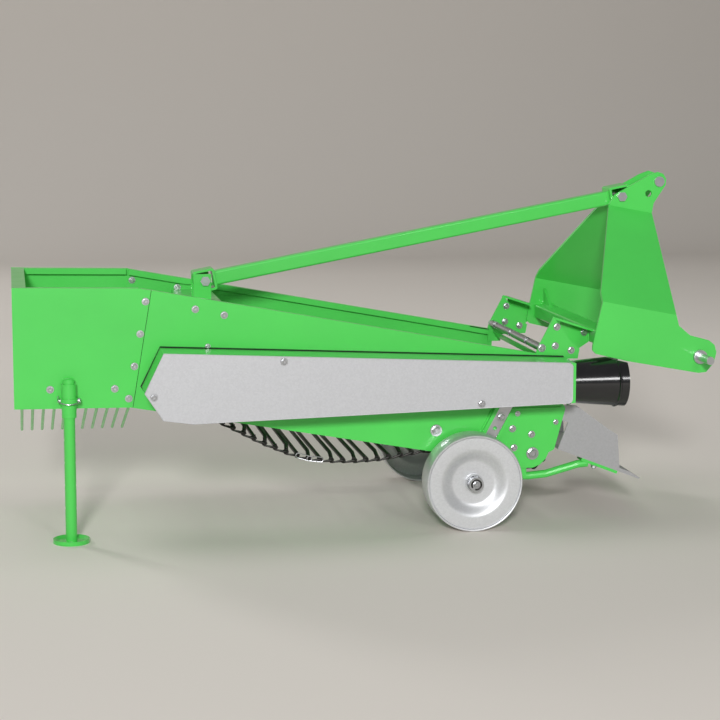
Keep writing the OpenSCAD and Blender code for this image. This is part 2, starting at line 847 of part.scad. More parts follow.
module pto_shield() {
    rim = 3;
    len = shield_end_x - guard_front_x;
    ring_x = len - 28;
    fall = (head_edge1[1] - head_edge0[1]) / (head_edge1[0] - head_edge0[0]);
    function r_at(x) = shield_r0 + (shield_r1 - shield_r0) * x / len;
    color(black)
        difference() {
            translate([guard_front_x, -pto_y, pto_z])
                rotate([0, 90, 0])
                    rotate_extrude()
                        polygon([
                            [shield_r0 - 20, 0], [shield_r0 + 6, 0], [shield_r0 + 6, shield_wall],
                            [r_at(shield_wall), shield_wall], [r_at(ring_x), ring_x],
                            [r_at(ring_x) + rim, ring_x + 2], [r_at(ring_x) + rim, ring_x + 6],
                            [r_at(ring_x), ring_x + 8], [shield_r1, len],
                            [shield_r1 - shield_wall, len], [r_at(shield_wall) - shield_wall, shield_wall],
                            [shield_r0 - 20, shield_wall]
                        ]);
            translate([head_edge0[0], -pto_y, head_edge0[1] - shield_gap])
                rotate([0, -atan(fall), 0])
                    translate([-60, -100, 0])
                        cube([400, 200, 100]);
        }
}

// Pair of web drums, flat where the web lies on them
module drums(x, z, path_r, a) {
    drum_r = path_r - belt_t / 2;
    for (s = [0, 1])
        mirror([0, s, 0])
            slab(concat(arc(x, z, drum_r, a), [[x, z]]), belt_y - belt_w, belt_y);
    for (s = [0, 1])
        mirror([0, s, 0])
            bar_y(x, z, drum_r * 0.97, belt_y - belt_w, belt_y);
}

module drive_shaft() {
    color(steel) {
        bar_y(drive_x, drive_z, drive_r, -wall_y - drive_seat, wall_y + 6);
        bar_y(drive_x, drive_z, drive_r + 20, wall_y, wall_y + 14);
        drums(drive_x, drive_z, drive_path_r, drive_a);
    }
}

module web_conveyor() {
    color(steel) {
        for (s = [0, 1])
            mirror([0, s, 0])
                difference() {
                    slab(web_path(belt_t / 2), belt_y - belt_w, belt_y);
                    slab(web_path(-belt_t / 2), belt_y - belt_w - 1, belt_y + 1);
                }
        for (i = [0 : rod_count - 1])
            let (p = rod_at(i * runs[path_n] / rod_count))
                translate([p[0], rod_y, p[1]])
                    rotate([90, 0, 0])
                        cylinder(r = rod_r, h = 2 * rod_y, $fn = 6);
    }
}

module front_roller() {
    color(steel) {
        bar_y(front_x, front_z, front_r, -inner_y, inner_y);
        drums(front_x, front_z, front_path_r, front_a);
    }
}

module support_rollers() {
    color(steel)
        for (s = [0, 1])
            mirror([0, s, 0]) {
                bar_y(idler_x, idler_z, idler_axle_r, belt_y - belt_w, inner_y);
                bar_y(idler_x, idler_z, idler_r, belt_y - belt_w, belt_y);
            }
}

module bearing_plate() {
    plate = [
        [wheel_x + 67, wheel_r + 186], [front_x + 80, wheel_r + 186], [front_x + 48, front_z + 6],
        [front_x + 38, front_z - 16], [front_x + 22, front_z - 32], [front_x + 2, front_z - 40],
        [front_x - 27, front_z - 40], [wheel_x + 85, wheel_r + 36], [wheel_x + 11, wheel_r + 83]
    ];
    color(green) {
        slab(plate, wall_y, arm_y);
        for (s = [-1, 1])
            translate([wheel_x, arm_y - 1, wheel_r])
                rotate([0, -arm_angle, 0])
                    translate([100, 0, s > 0 ? rail_off : -rail_off - rail_w])
                        cube([arm_len - 120, arm_t + 3, rail_w]);
    }
}

module wheel_arm() {
    color(silver)
        difference() {
            translate([wheel_x, arm_y, wheel_r])
                rotate([0, -arm_angle, 0]) {
                    translate([0, 0, -arm_w / 2])
                        cube([arm_len, arm_t, arm_w]);
                    translate([0, arm_t, 0])
                        rotate([90, 0, 0])
                            cylinder(r = arm_w / 2, h = arm_t);
                }
            bar_y(wheel_x, wheel_r, axle_r + pin_gap, arm_y - 10, arm_y + 20);
            translate([wheel_x, arm_y, wheel_r])
                rotate([0, -arm_angle, 0])
                    for (i = [0 : arm_holes - 1])
                        bar_y(arm_hole_at + i * arm_hole_pitch, 0, arm_hole_r, -10, arm_t + 10);
        }
}

module axle() {
    collar_h = 4;
    seat_y = arm_y + arm_t;
    hub_y = wheel_out_y - hub_in;
    nut_h = 16;
    color(silver) {
        bar_y(wheel_x, wheel_r, axle_r, arm_y - 12, hub_y + nut_h + 6);
        bar_y(wheel_x, wheel_r, axle_r + 8, seat_y, seat_y + collar_h);
        bar_y(wheel_x, wheel_r, axle_r + 8, arm_y - 12, arm_y);
        bar_y(wheel_x, wheel_r, axle_r + 9, hub_y + 1, hub_y + 4);
        translate([wheel_x, hub_y + nut_h, wheel_r])
            rotate([90, 0, 0])
                cylinder(r = axle_r + 6, h = nut_h - 4, $fn = 6);
    }
}

module wheel() {
    r = wheel_r;
    w = wheel_w;
    t = wheel_t;
    bore = axle_r + axle_gap;
    dish = [
        [r * 0.42, dish_depth], [r * 0.48, dish_depth * 0.92], [r * 0.54, dish_depth * 0.72],
        [r * 0.60, dish_depth * 0.48], [r * 0.66, dish_depth * 0.28], [r * 0.72, dish_depth * 0.2]
    ];
    rim = [
        [r * 0.94, dish_depth * 0.2], [r * 0.955, 1], [r * 0.975, 0], [r, 3], [r, 9], [r - 2, 11],
        [r - 2, 15], [r, 17], [r, w - 3], [r * 0.975, w], [r * 0.955, w - 1], [r * 0.955, w - 4],
        [r - t - 2, w - 8], [r - t - 2, dish_depth * 0.2 + t]
    ];
    back = [for (i = [len(dish) - 1 : -1 : 0]) dish[i] + [0, t]];
    color(silver)
        translate([wheel_x, wheel_out_y, wheel_r])
            rotate([90, 0, 0])
                rotate_extrude($fn = 96)
                    polygon(concat(
                        [[bore, hub_in], [hub_r, hub_in], [hub_r, dish_depth]], dish, rim, back,
                        [[hub_r, dish_depth + t], [hub_r, w], [bore, w]]
                    ));
}

module share_blade() {
    color(silver)
        translate([blade_x, 0, blade_z])
            rotate([0, blade_slope, 0])
                difference() {
                    translate([0, 0, -blade_t])
                        linear_extrude(height = blade_t)
                            polygon([
                                [0, -inner_y], [blade_len, -inner_y], [blade_len + blade_point, 0],
                                [blade_len, inner_y], [0, inner_y]
                            ]);
                    translate([blade_len + blade_point - blade_bevel, 0, 0])
                        rotate([0, atan2(blade_t, blade_bevel), 0])
                            translate([0, -inner_y - 1, 0])
                                cube([2 * blade_bevel, 2 * inner_y + 2, 2 * blade_t]);
                }
}

module share_cheek() {
    color(silver)
        slab(cheek_outline, inner_y - cheek_t, inner_y);
}

// Round bar between two points in one XZ plane, run on a little to close the bends
module bar_between(y, a, b, r) {
    v = b - a;
    over = r * 0.2;
    translate([a[0], y, a[1]])
        rotate([0, 90 - atan2(v[1], v[0]), 0])
            translate([0, 0, -over])
                cylinder(r = r, h = norm(v) + 2 * over, $fn = 12);
}

module share_bar() {
    y = inner_y - bar_r - 1;
    strip_h = 8;
    bends = [[402, 128], [440, 126], [490, 130], [580, 154], [606, 156]];
    gusset = [[388, 122], [432, 122], [432, 150], [410, 200], [388, 200]];
    color(green) {
        for (i = [0 : len(bends) - 2])
            bar_between(y, bends[i], bends[i + 1], bar_r);
        slab(gusset, inner_y - 9, inner_y);
        translate([blade_x, 0, blade_z])
            rotate([0, blade_slope, 0])
                translate([75, inner_y - 40, -blade_t - strip_h])
                    cube([110, 40, strip_h]);
    }
}

right() side_sheet();  // right_side_sheet
side_sheet();  // left_side_sheet
right() rear_panel();  // right_rear_panel
rear_panel();  // left_rear_panel
rear_sheet();
finger_grate();
leg_sleeve();
support_leg();
mid_cross_beam();
strut_lugs();
strut();
strut_bolts();
right() head_plate();  // right_head_plate
head_plate();  // left_head_plate
head_beam();
head_bracket(ear_t - inner_y, bracket_step);  // right_head_bracket
head_bracket(inner_y, head_y - head_t - inner_y);  // left_head_bracket
right() ear();  // right_ear
ear();  // left_ear
top_link_pin();
right() lower_pin();  // right_lower_pin
lower_pin();  // left_lower_pin
front_tie_rod();
front_cross_strip();
guard_box();
guard_cover();
gearbox();
pto_shaft();
pto_shield();
drive_shaft();
web_conveyor();
front_roller();
support_rollers();
right() bearing_plate();  // right_bearing_plate
bearing_plate();  // left_bearing_plate
right() wheel_arm();  // right_wheel_arm
wheel_arm();  // left_wheel_arm
right() axle();  // right_axle
axle();  // left_axle
right() wheel();  // right_wheel
wheel();  // left_wheel
share_blade();
right() share_cheek();  // right_share_cheek
share_cheek();  // left_share_cheek
right() share_bar();  // right_share_bar
share_bar();  // left_share_bar
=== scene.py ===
import json
import math

import bmesh
import bpy
from mathutils import Matrix, Vector


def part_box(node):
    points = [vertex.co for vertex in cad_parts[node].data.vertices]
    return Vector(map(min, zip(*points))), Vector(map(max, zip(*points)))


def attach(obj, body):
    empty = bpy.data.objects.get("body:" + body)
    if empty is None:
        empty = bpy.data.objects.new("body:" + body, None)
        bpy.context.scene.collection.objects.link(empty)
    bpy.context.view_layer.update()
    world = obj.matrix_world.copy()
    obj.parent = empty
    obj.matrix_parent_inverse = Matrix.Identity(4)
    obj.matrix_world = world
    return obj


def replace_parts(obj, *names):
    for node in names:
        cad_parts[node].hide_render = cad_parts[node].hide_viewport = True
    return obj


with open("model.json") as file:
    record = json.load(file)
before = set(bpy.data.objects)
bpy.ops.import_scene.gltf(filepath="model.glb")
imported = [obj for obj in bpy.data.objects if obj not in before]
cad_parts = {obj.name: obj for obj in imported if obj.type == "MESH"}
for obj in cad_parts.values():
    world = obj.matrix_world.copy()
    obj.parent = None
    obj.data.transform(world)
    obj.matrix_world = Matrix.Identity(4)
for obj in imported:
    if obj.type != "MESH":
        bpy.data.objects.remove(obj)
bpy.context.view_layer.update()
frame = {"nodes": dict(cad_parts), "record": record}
nodes = frame["nodes"]

MM = 0.001
LEFT, RIGHT = 1, -1
BOTH = (RIGHT, LEFT)


def low(node, axis):
    """Lowest coordinate of a node on one axis, in millimetres."""
    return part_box(node)[0]["xyz".index(axis)] / MM


def high(node, axis):
    """Highest coordinate of a node on one axis, in millimetres."""
    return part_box(node)[1]["xyz".index(axis)] / MM


# Thickness of the bearing plates, headstock plates, brackets, grate bar, mid beam and shield flange
PLATE_T = 5.0
HEAD_T = 8.0
BRACKET_T = 6.0
GRATE_BAR_T = 5.0
MID_BEAM_T = 4.0
FLANGE_T = 4.0

# Faces that carry the small parts, measured on the left side from the mid plane
PANEL_Y = high("left_rear_panel", "y")
SHEET_Y = high("left_side_sheet", "y")
PLATE_Y = SHEET_Y + PLATE_T
ARM_Y = high("left_wheel_arm", "y")
EAR_Y = high("left_ear", "y")
EAR_IN = low("left_ear", "y")
SHEET_IN = EAR_Y
COVER_Y = -low("guard_cover", "y")
HEAD_IN = high("head_beam", "y")
HEAD_OUT = HEAD_IN + HEAD_T
RIGHT_WEB = high("right_head_bracket", "y") - BRACKET_T
BEAM_REAR = low("head_beam", "x")
BEAM_FRONT = high("head_beam", "x")
BEAM_H = 40.0
BEAM_LOW = low("head_beam", "z")
BEAM_TOP = BEAM_LOW + BEAM_H
GUARD_FRONT = high("guard_box", "x")

# Camera of the photograph
CAMERA_POS = (-0.944, -5.283, 1.197)
CAMERA_YAW = 10.32
CAMERA_PITCH = 8.24
CAMERA_ROLL = 0.14
FOCAL_PX = 1923.0
IMAGE_PX = 720.0
SENSOR_MM = 36.0


def make_camera():
    data = bpy.data.cameras.new("photo_camera")
    data.sensor_fit = "HORIZONTAL"
    data.sensor_width = SENSOR_MM
    data.lens = SENSOR_MM * FOCAL_PX / IMAGE_PX
    data.clip_end = 100.0
    cam = bpy.data.objects.new("photo_camera", data)
    yaw, pitch, roll = (math.radians(a) for a in (CAMERA_YAW, CAMERA_PITCH, CAMERA_ROLL))
    level = Vector((math.sin(yaw), math.cos(yaw), 0.0))
    right = Vector((math.cos(yaw), -math.sin(yaw), 0.0))
    down = Vector((0.0, 0.0, -1.0))
    forward = level * math.cos(pitch) + down * math.sin(pitch)
    up = level * math.sin(pitch) - down * math.cos(pitch)
    side = right * math.cos(roll) + up * math.sin(roll)
    top = up * math.cos(roll) - right * math.sin(roll)
    turn = Matrix((side, top, -forward)).transposed()
    cam.matrix_world = Matrix.Translation(CAMERA_POS) @ turn.to_4x4()
    bpy.context.scene.collection.objects.link(cam)
    bpy.context.scene.camera = cam


# Materials

def new_material(name):
    mat = bpy.data.materials.new(name)
    mat.use_nodes = True
    tree = mat.node_tree
    shader = tree.nodes["Principled BSDF"]
    return mat, tree, shader


def noise(tree, scale, detail=4.0, rough=0.5, stretch=(1.0, 1.0, 1.0)):
    coords = tree.nodes.new("ShaderNodeTexCoord")
    mapping = tree.nodes.new("ShaderNodeMapping")
    mapping.inputs["Scale"].default_value = stretch
    tex = tree.nodes.new("ShaderNodeTexNoise")
    tex.inputs["Scale"].default_value = scale
    tex.inputs["Detail"].default_value = detail
    tex.inputs["Roughness"].default_value = rough
    tree.links.new(coords.outputs["Object"], mapping.inputs["Vector"])
    tree.links.new(mapping.outputs["Vector"], tex.inputs["Vector"])
    return tex.outputs["Fac"]


def ramp(tree, source, stops):
    node = tree.nodes.new("ShaderNodeValToRGB")
    for element, (place, colour) in zip(node.color_ramp.elements, stops[:2]):
        element.position = place
        element.color = (*colour, 1.0)
    for place, colour in stops[2:]:
        node.color_ramp.elements.new(place).color = (*colour, 1.0)
    tree.links.new(source, node.inputs["Fac"])
    return node.outputs["Color"]


def span(tree, source, lowest, highest):
    node = tree.nodes.new("ShaderNodeMapRange")
    node.inputs["To Min"].default_value = lowest
    node.inputs["To Max"].default_value = highest
    tree.links.new(source, node.inputs["Value"])
    return node.outputs["Result"]


def bump(tree, source, shader, strength, distance):
    node = tree.nodes.new("ShaderNodeBump")
    node.inputs["Strength"].default_value = strength
    node.inputs["Distance"].default_value = distance
    tree.links.new(source, node.inputs["Height"])
    tree.links.new(node.outputs["Normal"], shader.inputs["Normal"])


def tint(colour, factor):
    return tuple(min(c * factor, 1.0) for c in colour)


def paint_material(name, colour):
    mat, tree, shader = new_material(name)
    cloud = noise(tree, 3.0, 6.0, 0.6)
    colours = ramp(tree, cloud, [(0.30, tint(colour, 0.94)), (0.70, tint(colour, 1.04))])
    tree.links.new(colours, shader.inputs["Base Color"])
    smear = noise(tree, 14.0, 5.0, 0.65)
    tree.links.new(span(tree, smear, 0.24, 0.38), shader.inputs["Roughness"])
    peel = noise(tree, 420.0, 2.0, 0.5)
    bump(tree, peel, shader, 0.06, 0.0004)
    shader.inputs["Coat Weight"].default_value = 0.25
    shader.inputs["Coat Roughness"].default_value = 0.08
    return mat


def metal_material(name, colour, rough, grain=(1.0, 1.0, 1.0), grain_scale=260.0, metallic=1.0):
    mat, tree, shader = new_material(name)
    cloud = noise(tree, 18.0, 6.0, 0.6)
    colours = ramp(tree, cloud, [(0.28, tint(colour, 0.86)), (0.72, tint(colour, 1.08))])
    tree.links.new(colours, shader.inputs["Base Color"])
    streak = noise(tree, grain_scale, 3.0, 0.6, grain)
    tree.links.new(span(tree, streak, rough - 0.07, rough + 0.09), shader.inputs["Roughness"])
    bump(tree, streak, shader, 0.10, 0.0003)
    shader.inputs["Metallic"].default_value = metallic
    return mat


def galvanised_material(name, colour, rough, metallic):
    mat, tree, shader = new_material(name)
    coords = tree.nodes.new("ShaderNodeTexCoord")
    cells = tree.nodes.new("ShaderNodeTexVoronoi")
    cells.inputs["Scale"].default_value = 240.0
    tree.links.new(coords.outputs["Object"], cells.inputs["Vector"])
    flake = tree.nodes.new("ShaderNodeSeparateColor")
    tree.links.new(cells.outputs["Color"], flake.inputs["Color"])
    colours = ramp(tree, flake.outputs["Red"], [(0.0, tint(colour, 0.96)), (1.0, tint(colour, 1.04))])
    tree.links.new(colours, shader.inputs["Base Color"])
    rolled = noise(tree, 60.0, 4.0, 0.6, (0.2, 1.0, 3.0))
    tree.links.new(span(tree, rolled, rough - 0.06, rough + 0.06), shader.inputs["Roughness"])
    ripple = noise(tree, 9.0, 4.0, 0.5)
    bump(tree, ripple, shader, 0.03, 0.002)
    shader.inputs["Metallic"].default_value = metallic
    return mat


def plastic_material(name, colour, rough):
    mat, tree, shader = new_material(name)
    cloud = noise(tree, 25.0, 5.0, 0.6)
    colours = ramp(tree, cloud, [(0.3, tint(colour, 0.8)), (0.7, tint(colour, 1.25))])
    tree.links.new(colours, shader.inputs["Base Color"])
    tree.links.new(span(tree, cloud, rough - 0.05, rough + 0.08), shader.inputs["Roughness"])
    grain = noise(tree, 600.0, 2.0, 0.5)
    bump(tree, grain, shader, 0.03, 0.0002)
    shader.inputs["Coat Weight"].default_value = 0.6
    shader.inputs["Coat Roughness"].default_value = 0.12
    return mat


GREEN = (0.080, 0.66, 0.098)
materials = {
    "green_paint": paint_material("green_paint", GREEN),
    "zinc_steel": metal_material("zinc_steel", (0.58, 0.59, 0.61), 0.30),
    "bare_steel": metal_material("bare_steel", (0.36, 0.36, 0.37), 0.36),
    "guard_sheet": galvanised_material("guard_sheet", (0.545, 0.55, 0.57), 0.50, 0.3),
    "cast_housing": metal_material("cast_housing", (0.22, 0.22, 0.23), 0.6),
    "black_shield": plastic_material("black_shield", (0.008, 0.008, 0.009), 0.17),
    "dark_steel": metal_material("dark_steel", (0.05, 0.048, 0.046), 0.42),
    "wheel_zinc": galvanised_material("wheel_zinc", (0.69, 0.70, 0.72), 0.40, 0.55),
    "share_steel": galvanised_material("share_steel", (0.42, 0.42, 0.43), 0.50, 0.4),
}

# A node with a duller finish than its slot's
OTHER_SLOTS = {"front_tie_rod": "bare_steel"}
# Rounding of the CAD nodes' edges in millimetres, from which angle on, and the nodes that go without
EDGE, EDGE_ANGLE = 1.0, 50.0
PLAIN_EDGES = ("web_conveyor", "left_wheel", "right_wheel", "finger_grate")


def dress_nodes():
    for part in frame["record"]["subparts"]:
        obj = nodes[part["node"]]
        obj.data.materials.clear()
        slot = OTHER_SLOTS.get(part["node"], part["material_slot"])
        obj.data.materials.append(materials[slot])
        if part["node"] in PLAIN_EDGES:
            continue
        rounding = obj.modifiers.new("edges", "BEVEL")
        rounding.width = EDGE * MM
        rounding.segments = 2
        rounding.limit_method = "ANGLE"
        rounding.angle_limit = math.radians(EDGE_ANGLE)
        rounding.harden_normals = True


# Mesh building, in millimetres

def square_to(axis):
    """Two directions square to an axis, and the axis itself."""
    w = Vector(axis).normalized()
    u = w.orthogonal().normalized()
    return u, w.cross(u), w


def bridge(bm, a, b):
    """Faces between two rings, or between a ring and a point."""
    n = max(len(a), len(b))
    for i in range(n):
        j = (i + 1) % n
        corners = []
        for ring, k in ((a, i), (a, j), (b, j), (b, i)):
            vert = ring[k % len(ring)]
            if vert not in corners:
                corners.append(vert)
        bm.faces.new(corners)


def circle(bm, centre, u, v, radius, steps):
    """Ring of vertices round a centre, in the plane of two directions."""
    turns = [2.0 * math.pi * i / steps for i in range(steps)]
    return [bm.verts.new((centre + (u * math.cos(t) + v * math.sin(t)) * radius) * MM) for t in turns]


def lathe(bm, profile, place, axis, steps=20, closed=False):
    """Turned form: (radius, height) pairs about an axis through a place, closed for a ring."""
    u, v, w = square_to(axis)
    rings = []
    for radius, height in profile:
        count = steps if radius > 0.0 else 1
        rings.append(circle(bm, Vector(place) + w * height, u, v, radius, count))
    for a, b in zip(rings, rings[1:] + rings[:1] if closed else rings[1:]):
        bridge(bm, a, b)


def tube(bm, path, radius, steps=8):
    """Round bar or wire along a path; radius is one number or one for each point."""
    points = [Vector(p) for p in path]
    radii = radius if isinstance(radius, list) else [radius] * len(points)
    u = None
    rings = []
    for i, point in enumerate(points):
        along = (points[min(i + 1, len(points) - 1)] - points[max(i - 1, 0)]).normalized()
        u = along.orthogonal() if u is None else u - along * u.dot(along)
        u.normalize()
        rings.append(circle(bm, point, u, along.cross(u), radii[i], steps))
    for a, b in zip(rings, rings[1:]):
        bridge(bm, a, b)
    bm.faces.new(rings[0][::-1])
    bm.faces.new(rings[-1])


def prism(bm, points, shift):
    """Plate with the given outline, as thick as a shift."""
    near = [bm.verts.new(Vector(p) * MM) for p in points]
    far = [bm.verts.new((Vector(p) + Vector(shift)) * MM) for p in points]
    bridge(bm, near, far)
    bm.faces.new(near[::-1])
    bm.faces.new(far)


def sweep(first, last, steps):
    """Angles in radians from one angle to another in degrees, both included."""
    return [math.radians(first + (last - first) * i / steps) for i in range(steps + 1)]


def loop(points):
    """Points of a closed line, with the first one again at the end."""
    return list(points) + [points[0]]


def smooth_path(points, steps=6):
    """Points on a smooth curve through the given ones."""
    pts = [Vector(p) for p in points]
    out = []
    for i in range(len(pts) - 1):
        a, b, c, d = pts[max(i - 1, 0)], pts[i], pts[i + 1], pts[min(i + 2, len(pts) - 1)]
        for k in range(steps):
            t = k / steps
            out.append(0.5 * (2 * b + (c - a) * t + (2 * a - 5 * b + 4 * c - d) * t ** 2
                              + (3 * b - a - 3 * c + d) * t ** 3))
    out.append(pts[-1])
    return out


def add_piece(name, bm, slot, body="frame", sharp=35.0):
    bmesh.ops.recalc_face_normals(bm, faces=bm.faces[:])
    mesh = bpy.data.meshes.new(name)
    bm.to_mesh(mesh)
    bm.free()
    mesh.shade_smooth()
    mesh.set_sharp_from_angle(angle=math.radians(sharp))
    mesh.materials.append(materials[slot])
    obj = bpy.data.objects.new(name, mesh)
    bpy.context.scene.collection.objects.link(obj)
    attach(obj, body)
    return obj


# Fasteners: (radius, height) pairs as shares of the thread diameter d
WASHER = [(0.5, 0.0), (1.22, 0.0), (1.26, 0.04), (1.26, 0.16), (1.22, 0.20), (0.5, 0.20)]
HEAD = [(0.0, 0.2), (0.92, 0.2), (0.92, 0.70), (0.80, 0.80), (0.60, 0.80), (0.48, 0.70), (0.0, 0.68)]
NUT = [(0.5, 0.2), (0.92, 0.2), (0.92, 0.92), (0.80, 1.0), (0.5, 1.0)]
THREAD_END = [(0.0, 0.2), (0.5, 0.2), (0.5, 1.25), (0.42, 1.33), (0.0, 1.33)]


def fastener_part(bm, shares, d, place, axis, steps, closed=False):
    lathe(bm, [(r * d, h * d) for r, h in shares], place, axis, steps, closed)


def hex_head(bm, place, axis, d):
    fastener_part(bm, WASHER, d, place, axis, 24, True)
    fastener_part(bm, HEAD, d, place, axis, 6)


def hex_nut(bm, place, axis, d):
    fastener_part(bm, WASHER, d, place, axis, 24, True)
    fastener_part(bm, NUT, d, place, axis, 6, True)
    fastener_part(bm, THREAD_END, d, place, axis, 12)


# Rows of bolts: name, sides, thread, outer face, inner face or None, places as (x, z)
BOLT_ROWS = [
    ("seam_bolts", BOTH, 8, PANEL_Y, SHEET_IN, [(-602, 628), (-617, 543), (-633, 458), (-649, 373)]),
    ("grate_bolts", (RIGHT,), 8, PANEL_Y, SHEET_IN - GRATE_BAR_T, [(-852, 402), (-685, 400)]),
    ("mid_beam_bolts", BOTH, 8, SHEET_Y, SHEET_IN - MID_BEAM_T, [(-472, 605), (-396, 588)]),
    ("plate_bolts", BOTH, 8, PLATE_Y, None, [(389, 262), (443, 245), (394, 209)]),
    ("plate_screws", BOTH, 6, PLATE_Y, None, [(511, 277), (403, 303)]),
    ("front_roller_bolts", BOTH, 14, PLATE_Y, None, [(446, 192)]),
    ("support_roller_bolts", BOTH, 13, SHEET_Y, None, [(177, 263)]),
    ("arm_bolts", BOTH, 10, ARM_Y, None, [(357, 296)]),
    ("ear_bolts", BOTH, 8, EAR_Y, EAR_IN, [(508, 486), (553, 473)]),
    ("right_ear_top_bolt", (RIGHT,), 8, EAR_Y, None, [(512, 538)]),
    ("tie_rod_nuts", BOTH, 9, EAR_Y, None, [(470, 481)]),
    ("cover_bolts", (RIGHT,), 8, COVER_Y, None, [(-592, 394), (-255, 479), (272, 354)]),
    ("guard_screws", (RIGHT,), 6, SHEET_Y, None, [(-440, 506)]),
]


def make_bolts():
    for name, sides, d, outer, inner, places in BOLT_ROWS:
        bm = bmesh.new()
        for side in sides:
            for x, z in places:
                hex_head(bm, (x, side * outer, z), (0, side, 0), d)
                if inner:
                    hex_nut(bm, (x, side * inner, z), (0, -side, 0), d)
        add_piece(name, bm, "zinc_steel")


# Bolts of the shield's flange, of the brackets as (place, side that the head faces), and of the share strips
SHIELD_Y, SHIELD_Z = -318.0, 393.0
SHIELD_BOLT_R = 56.0
SHIELD_BOLT_ANGLES = (35.0, 145.0, 215.0, 325.0)
SHIELD_BOLT, BRACKET_BOLT, STRIP_BOLT = 6, 8, 8
BRACKET_BOLTS = [
    ((604.0, RIGHT_WEB, 515.0), RIGHT),
    ((606.0, HEAD_OUT + BRACKET_T, 509.0), LEFT),
    ((512.0, EAR_IN, 533.0), RIGHT),
]
STRIP_NUT_X, STRIP_NUT_Y, STRIP_NUT_Z = 627.0, 268.0, 150.0
STRIP_DOWN = (-0.27, 0.0, -0.96)


def make_front_bolts():
    bm = bmesh.new()
    for angle in SHIELD_BOLT_ANGLES:
        t = math.radians(angle)
        y = SHIELD_Y - SHIELD_BOLT_R * math.cos(t)
        z = SHIELD_Z + SHIELD_BOLT_R * math.sin(t)
        hex_head(bm, (GUARD_FRONT + FLANGE_T, y, z), (1, 0, 0), SHIELD_BOLT)
    add_piece("shield_bolts", bm, "zinc_steel")
    bm = bmesh.new()
    for place, side in BRACKET_BOLTS:
        hex_head(bm, place, (0, side, 0), BRACKET_BOLT)
    add_piece("bracket_bolts", bm, "zinc_steel")
    bm = bmesh.new()
    for side in BOTH:
        hex_nut(bm, (STRIP_NUT_X, side * STRIP_NUT_Y, STRIP_NUT_Z), STRIP_DOWN, STRIP_BOLT)
    add_piece("share_strip_nuts", bm, "zinc_steel")


# Headstock fittings: ears, folded brackets that end in a point at the ear, and the ends of the sheets' hem
EAR_TIP, EAR_MID, EAR_FRONT = (503.0, 565.0), (550.0, 499.0), (577.0, 476.0)
EAR_LOW = [(572, 450), (530, 450), (497, 447), (494, 428), (456, 428), (456, 470), (462, 487)]
BRACKET_CORNER = (589.0, 470.0)
FOLD_X, FOLD_LOW = 535.0, 520.0
FOLD_IN = (-4, 0, -4)
LEFT_TOP_X = 590.0
FOLD_SLOPE = (BEAM_TOP - EAR_TIP[1]) / (BEAM_REAR - EAR_TIP[0])
HEM_IN, HEM_T, HEM_DROP = low("left_side_sheet", "y"), 3.0, 17.0
HEM_ENDS = ((399.0, 476.5), (456.0, 466.1))
HEM_SUNK = 1.0


def fold_z(x):
    """Height of the bracket's top fold."""
    return EAR_TIP[1] + FOLD_SLOPE * (x - EAR_TIP[0])


def bracket(bm, ear_y, web_y, top_x):
    """Sheet folded along the ear's slanted edge, with its web set off to the left and a top flange."""
    back_y = web_y + BRACKET_T
    web = [
        (FOLD_X, fold_z(FOLD_X)), (BEAM_REAR, BEAM_TOP), (BEAM_REAR, BEAM_LOW), BRACKET_CORNER,
        EAR_FRONT, EAR_MID, (FOLD_X, FOLD_LOW)
    ]
    prism(bm, [(x, web_y, z) for x, z in web], (0, BRACKET_T, 0))
    top = [(EAR_TIP[0], ear_y), (top_x, ear_y), (top_x, back_y), (FOLD_X, back_y)]
    prism(bm, [(x, y, fold_z(x)) for x, y in top], (0, 0, -BRACKET_T))
    (x0, z0), (x1, z1), (x2, z2) = EAR_TIP, EAR_MID, EAR_FRONT
    prism(bm, [(x0, ear_y, z0), (x1, ear_y, z1), (x1, back_y, z1), (FOLD_X, back_y, FOLD_LOW)], FOLD_IN)
    prism(bm, [(x1, ear_y, z1), (x2, ear_y, z2), (x2, back_y, z2), (x1, back_y, z1)], FOLD_IN)


def make_head_fittings():
    outline = [EAR_TIP, EAR_MID, EAR_FRONT] + EAR_LOW
    for node, y in (("right_ear", -EAR_Y), ("left_ear", EAR_IN)):
        bm = bmesh.new()
        prism(bm, [(x, y, z) for x, z in outline], (0, EAR_Y - EAR_IN, 0))
        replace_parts(add_piece(node + "_plate", bm, "green_paint"), node)
    rows = (
        ("right_head_bracket", -EAR_IN, RIGHT_WEB, BEAM_REAR),
        ("left_head_bracket", EAR_Y, HEAD_OUT, LEFT_TOP_X),
    )
    for node, ear_y, web_y, top_x in rows:
        bm = bmesh.new()
        bracket(bm, ear_y, web_y, top_x)
        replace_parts(add_piece(node + "_folded", bm, "green_paint"), node)
    bm = bmesh.new()
    (x0, z0), (x1, z1) = HEM_ENDS
    for side in BOTH:
        y0, y1 = side * HEM_IN, side * (SHEET_IN + HEM_SUNK)
        edge = [(x0, y0, z0), (x1, y0, z1)]
        prism(bm, edge + [(x1, y1, z1), (x0, y1, z0)], (0, 0, -HEM_T))
        prism(bm, edge + [(x1, y0, z1 - HEM_DROP), (x0, y0, z0 - HEM_DROP)], (0, side * HEM_T, 0))
    add_piece("hem_ends", bm, "green_paint")


# Welds: radius of each kind of bead, step and swell of its ripples, and places
BEAD_R, BEAM_BEAD_R, GUSSET_BEAD_R, STRUT_BEAD_R = 2.6, 3.2, 2.4, 2.8
RIPPLE_STEP, RIPPLE = 3.0, (1.0, 1.16, 0.94)
BRACKET_WELD_SHORT = 2
SLEEVE_WELD_X, SLEEVE_WELD_Z = 12, (359, 411)
GUSSET_HALF, GUSSET_H, GUSSET_LEN = 4, 48, 80
LUG_T = 6


